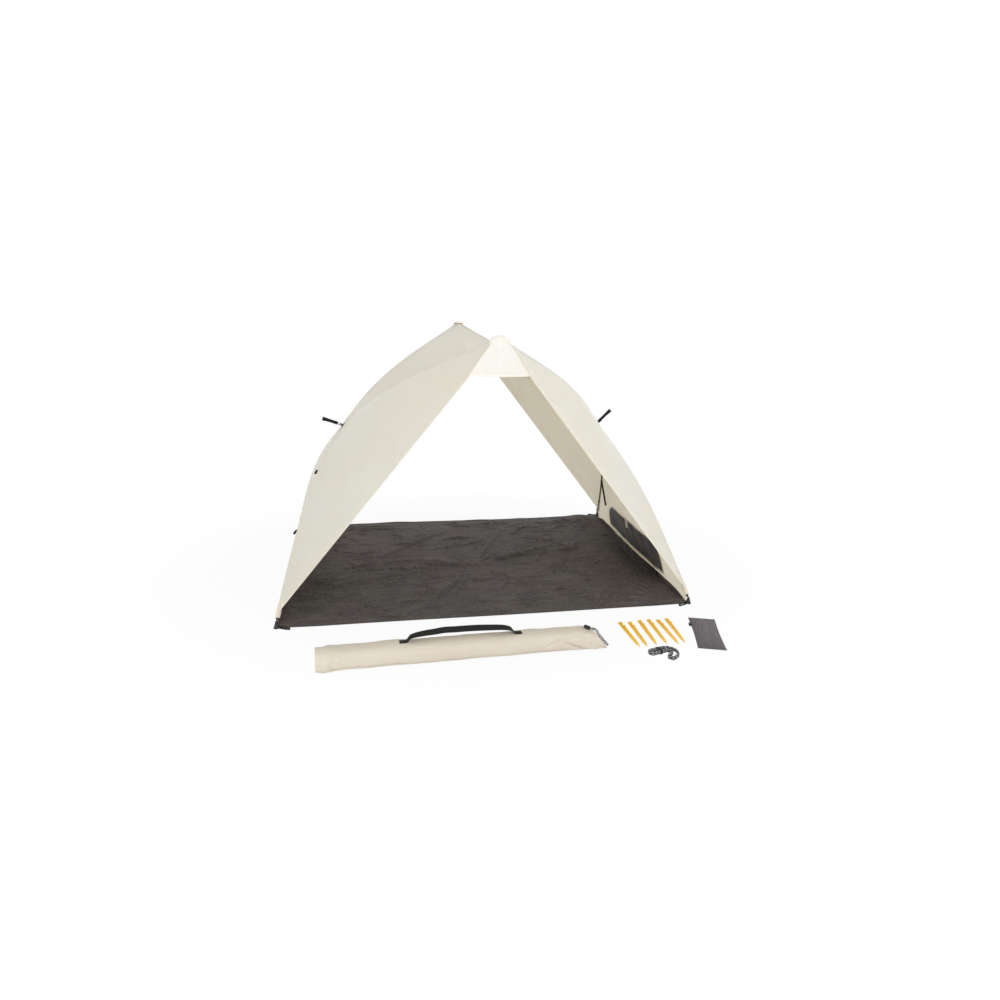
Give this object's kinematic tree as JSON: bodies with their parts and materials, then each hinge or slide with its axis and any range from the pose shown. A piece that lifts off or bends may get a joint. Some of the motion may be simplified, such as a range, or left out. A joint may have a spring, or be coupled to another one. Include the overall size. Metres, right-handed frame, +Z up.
{
  "type": "pop_up_sun_shelter",
  "caption": "Pop-up sun shelter with folding side hubs, a saddle roof, mesh windows and a dark groundsheet, with its carry bag, pegs, guy line and pouch laid out in front.",
  "frame": {"origin": "middle of the groundsheet, on its underside", "axes": "+X to the right of someone looking in at the front, +Y to the rear, +Z up"},
  "size_m": [2.2661, 2.1983, 1.4289],
  "materials": {
    "canopy_cloth": "stone-beige coated polyester, semi-matt",
    "hood_cloth": "pale translucent polyester",
    "groundsheet_cloth": "dark grey coated woven sheet, creased",
    "window_mesh": "fine black mesh",
    "black_fibreglass": "pultruded fibreglass, black",
    "black_moulding": "moulded nylon, black",
    "black_webbing": "woven polyester webbing",
    "bag_cloth": "beige woven polyester",
    "yellow_plastic": "moulded yellow plastic",
    "guy_cord": "braided cord, black with pale flecks",
    "pouch_cloth": "dark grey woven polyester"
  },
  "bodies": {
    "groundsheet_and_kit": {"groundsheet": "groundsheet_cloth", "front_left_foot": "black_moulding", "front_left_stake_loop": "black_webbing", "carry_bag": "bag_cloth", "bag_handle": "black_webbing", "bag_cord_lock": "black_moulding", "ground_peg_1": "yellow_plastic", "ground_peg_2": "yellow_plastic", "ground_peg_3": "yellow_plastic", "ground_peg_4": "yellow_plastic", "ground_peg_5": "yellow_plastic", "ground_peg_6": "yellow_plastic", "guy_line_hank": "guy_cord", "hank_tie": "black_webbing", "peg_pouch": "pouch_cloth", "pouch_cord_lock": "black_moulding"},
    "front_left_upper_rod": {"front_left_upper_rod": "black_fibreglass", "front_left_upper_rod_hub_end": "black_moulding"},
    "front_left_lower_rod": {"front_left_lower_rod": "black_fibreglass", "front_left_lower_rod_hub_end": "black_moulding", "front_left_panel": "canopy_cloth"},
    "rear_left_upper_rod": {"rear_left_upper_rod": "black_fibreglass", "rear_left_upper_rod_hub_end": "black_moulding", "rear_peak_connector": "black_moulding", "rear_hood": "hood_cloth"},
    "rear_left_lower_rod": {"rear_left_lower_rod": "black_fibreglass", "rear_left_lower_rod_hub_end": "black_moulding", "rear_left_foot": "black_moulding", "rear_left_stake_loop": "black_webbing", "left_wall": "canopy_cloth", "left_window": "window_mesh", "rear_left_panel": "canopy_cloth"},
    "front_right_upper_rod": {"front_right_upper_rod": "black_fibreglass", "front_right_upper_rod_hub_end": "black_moulding"},
    "front_right_lower_rod": {"front_right_lower_rod": "black_fibreglass", "front_right_lower_rod_hub_end": "black_moulding", "front_right_foot": "black_moulding", "front_right_stake_loop": "black_webbing", "front_right_panel": "canopy_cloth"},
    "rear_right_upper_rod": {"rear_right_upper_rod": "black_fibreglass", "rear_right_upper_rod_hub_end": "black_moulding"},
    "rear_right_lower_rod": {"rear_right_lower_rod": "black_fibreglass", "rear_right_lower_rod_hub_end": "black_moulding", "rear_right_foot": "black_moulding", "rear_right_stake_loop": "black_webbing", "right_wall": "canopy_cloth", "right_window": "window_mesh", "right_pocket": "window_mesh", "rear_right_panel": "canopy_cloth"},
    "left_hub": {"left_hub": "black_moulding", "left_strap_anchor": "black_moulding", "left_pull_strap": "black_webbing"},
    "right_hub": {"right_hub": "black_moulding", "right_strap_anchor": "black_moulding", "right_pull_strap": "black_webbing"},
    "front_peak": {"front_peak_connector": "black_moulding", "front_hood": "hood_cloth", "left_roof_panel": "canopy_cloth", "right_roof_panel": "canopy_cloth"}
  },
  "joints": [
    {"name": "front_left_foot_pivot", "type": "hinge", "parent": "groundsheet_and_kit", "child": "front_left_lower_rod", "pos_m": [-1.1, -0.7875, 0.03], "axis": [-0.076, 0.8702, 0.4868], "range_deg": [0, 103.51], "deforming": ["front_left_panel", "front_right_panel", "rear_left_panel", "rear_right_panel", "left_roof_panel", "right_roof_panel", "front_hood", "rear_hood", "left_wall", "right_wall", "left_window", "right_window", "right_pocket", "left_pull_strap", "right_pull_strap", "groundsheet"]},
    {"name": "left_hub_on_front_lower_rod", "type": "hinge", "parent": "front_left_lower_rod", "child": "left_hub", "pos_m": [-0.77056, -0.02015, 0.84439], "axis": [-0.4099, 0.7408, -0.5322], "range_deg": [-95.86, 0]},
    {"name": "front_left_upper_rod_pin", "type": "hinge", "parent": "left_hub", "child": "front_left_upper_rod", "pos_m": [-0.74287, -0.01908, 0.88034], "axis": [-0.3882, -0.7716, -0.504], "range_deg": [0, 97.21]},
    {"name": "rear_left_upper_rod_pin", "type": "hinge", "parent": "left_hub", "child": "rear_left_upper_rod", "pos_m": [-0.74287, 0.01908, 0.88034], "axis": [0.3882, -0.7716, 0.504], "range_deg": [0, 97.21]},
    {"name": "rear_left_lower_rod_pin", "type": "hinge", "parent": "left_hub", "child": "rear_left_lower_rod", "pos_m": [-0.77056, 0.02015, 0.84439], "axis": [0.4099, 0.7408, 0.5322], "range_deg": [0, 95.86]},
    {"name": "front_peak_left_pin", "type": "hinge", "parent": "front_left_upper_rod", "child": "front_peak", "pos_m": [-0.013, -0.729, 1.405], "axis": [0, -0.3729, -0.9279], "range_deg": [-39.43, 0]},
    {"name": "front_peak_right_pin", "type": "hinge", "parent": "front_peak", "child": "front_right_upper_rod", "pos_m": [0.013, -0.729, 1.405], "axis": [0, -0.3729, -0.9279], "range_deg": [-39.43, 0]},
    {"name": "right_hub_on_front_upper_rod", "type": "hinge", "parent": "front_right_upper_rod", "child": "right_hub", "pos_m": [0.74287, -0.01908, 0.88034], "axis": [-0.3882, 0.7716, 0.504], "range_deg": [-97.21, 0]},
    {"name": "rear_right_upper_rod_pin", "type": "hinge", "parent": "right_hub", "child": "rear_right_upper_rod", "pos_m": [0.74287, 0.01908, 0.88034], "axis": [0.3882, 0.7716, -0.504], "range_deg": [0, 97.21]},
    {"name": "front_right_lower_rod_pin", "type": "hinge", "parent": "right_hub", "child": "front_right_lower_rod", "pos_m": [0.77056, -0.02015, 0.84439], "axis": [-0.4099, -0.7408, 0.5322], "range_deg": [0, 95.86]},
    {"name": "rear_right_lower_rod_pin", "type": "hinge", "parent": "right_hub", "child": "rear_right_lower_rod", "pos_m": [0.77056, 0.02015, 0.84439], "axis": [0.4099, -0.7408, -0.5322], "range_deg": [0, 95.86]}
  ],
  "couplings": [
    {"joint": "left_hub_on_front_lower_rod", "follows": "front_left_foot_pivot", "ratio": -0.92432},
    {"joint": "front_left_upper_rod_pin", "follows": "front_left_foot_pivot", "ratio": 0.93733},
    {"joint": "rear_left_upper_rod_pin", "follows": "front_left_foot_pivot", "ratio": 0.93733},
    {"joint": "rear_left_lower_rod_pin", "follows": "front_left_foot_pivot", "ratio": 0.92432},
    {"joint": "front_peak_left_pin", "follows": "front_left_foot_pivot", "ratio": -0.38018},
    {"joint": "front_peak_right_pin", "follows": "front_left_foot_pivot", "ratio": -0.38018},
    {"joint": "right_hub_on_front_upper_rod", "follows": "front_left_foot_pivot", "ratio": -0.93733},
    {"joint": "rear_right_upper_rod_pin", "follows": "front_left_foot_pivot", "ratio": 0.93733},
    {"joint": "front_right_lower_rod_pin", "follows": "front_left_foot_pivot", "ratio": 0.92432},
    {"joint": "rear_right_lower_rod_pin", "follows": "front_left_foot_pivot", "ratio": 0.92432}
  ]
}
